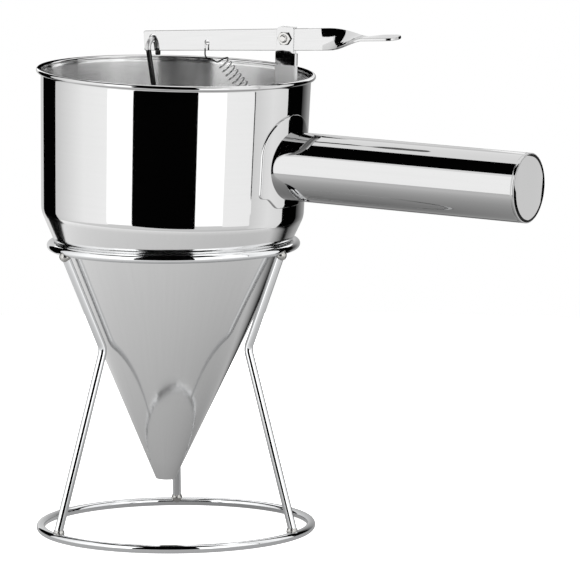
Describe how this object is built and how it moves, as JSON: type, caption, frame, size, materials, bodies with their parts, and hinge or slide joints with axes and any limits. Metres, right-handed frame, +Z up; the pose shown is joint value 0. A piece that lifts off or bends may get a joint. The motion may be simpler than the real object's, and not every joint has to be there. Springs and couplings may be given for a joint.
{
  "type": "confectionery funnel",
  "caption": "Conical steel dispensing funnel with a tube handle, a sprung thumb lever that lifts a rod and stopper off the outlet, standing in a bent wire stand.",
  "frame": {"origin": "centre of the stand's base ring, on the table", "axes": "+Z up along the stand's axis, +X towards the handle's free end"},
  "size_m": [0.3096, 0.161, 0.2929],
  "materials": {
    "polished_stainless_sheet": "polished stainless sheet, mirror bright outside and satin inside",
    "polished_stainless_tube": "polished stainless tube",
    "stainless_strip": "buffed stainless strip",
    "stainless_wire": "drawn stainless wire",
    "plated_wire": "bright plated steel wire",
    "plated_fastener": "bright plated fastener",
    "weld": "dressed weld",
    "white_food_plastic": "white food plastic"
  },
  "bodies": {
    "stand": {"stand_base_ring": "plated_wire", "stand_top_ring": "plated_wire", "stand_leg_handle": "plated_wire", "stand_leg_rear": "plated_wire", "stand_leg_left": "plated_wire", "foot_welds": "weld", "ring_welds": "weld"},
    "funnel": {"bowl": "polished_stainless_sheet", "cone": "polished_stainless_sheet", "handle_saddle": "polished_stainless_sheet", "handle_tube": "polished_stainless_tube", "handle_end_cap": "polished_stainless_sheet", "lever_bracket": "stainless_strip", "bracket_welds": "weld", "pivot_bolt": "plated_fastener", "pivot_nut": "plated_fastener", "return_spring": "stainless_wire"},
    "lever": {"lever": "stainless_strip"},
    "rod": {"piston_rod": "stainless_wire", "valve_stopper": "white_food_plastic"}
  },
  "joints": [
    {"name": "funnel_lift", "type": "slide", "parent": "stand", "child": "funnel", "axis": [0, 0, 1], "range_m": [0, 0.16]},
    {"name": "lever_pivot", "type": "hinge", "parent": "funnel", "child": "lever", "pos_m": [0.07207, 0.00599, 0.28638], "axis": [-0.0871, 0.9962, 0.0035], "range_deg": [0, 12], "stiffness_Nm_per_rad": 0.6, "springref_deg": -14.32, "deforming": ["return_spring"]},
    {"name": "rod_lift", "type": "slide", "parent": "funnel", "child": "rod", "axis": [0.0401, 0, 0.9992], "range_m": [0, 0.0176]}
  ],
  "couplings": [
    {"joint": "rod_lift", "follows": "lever_pivot", "m_per_rad": 0.0835}
  ]
}
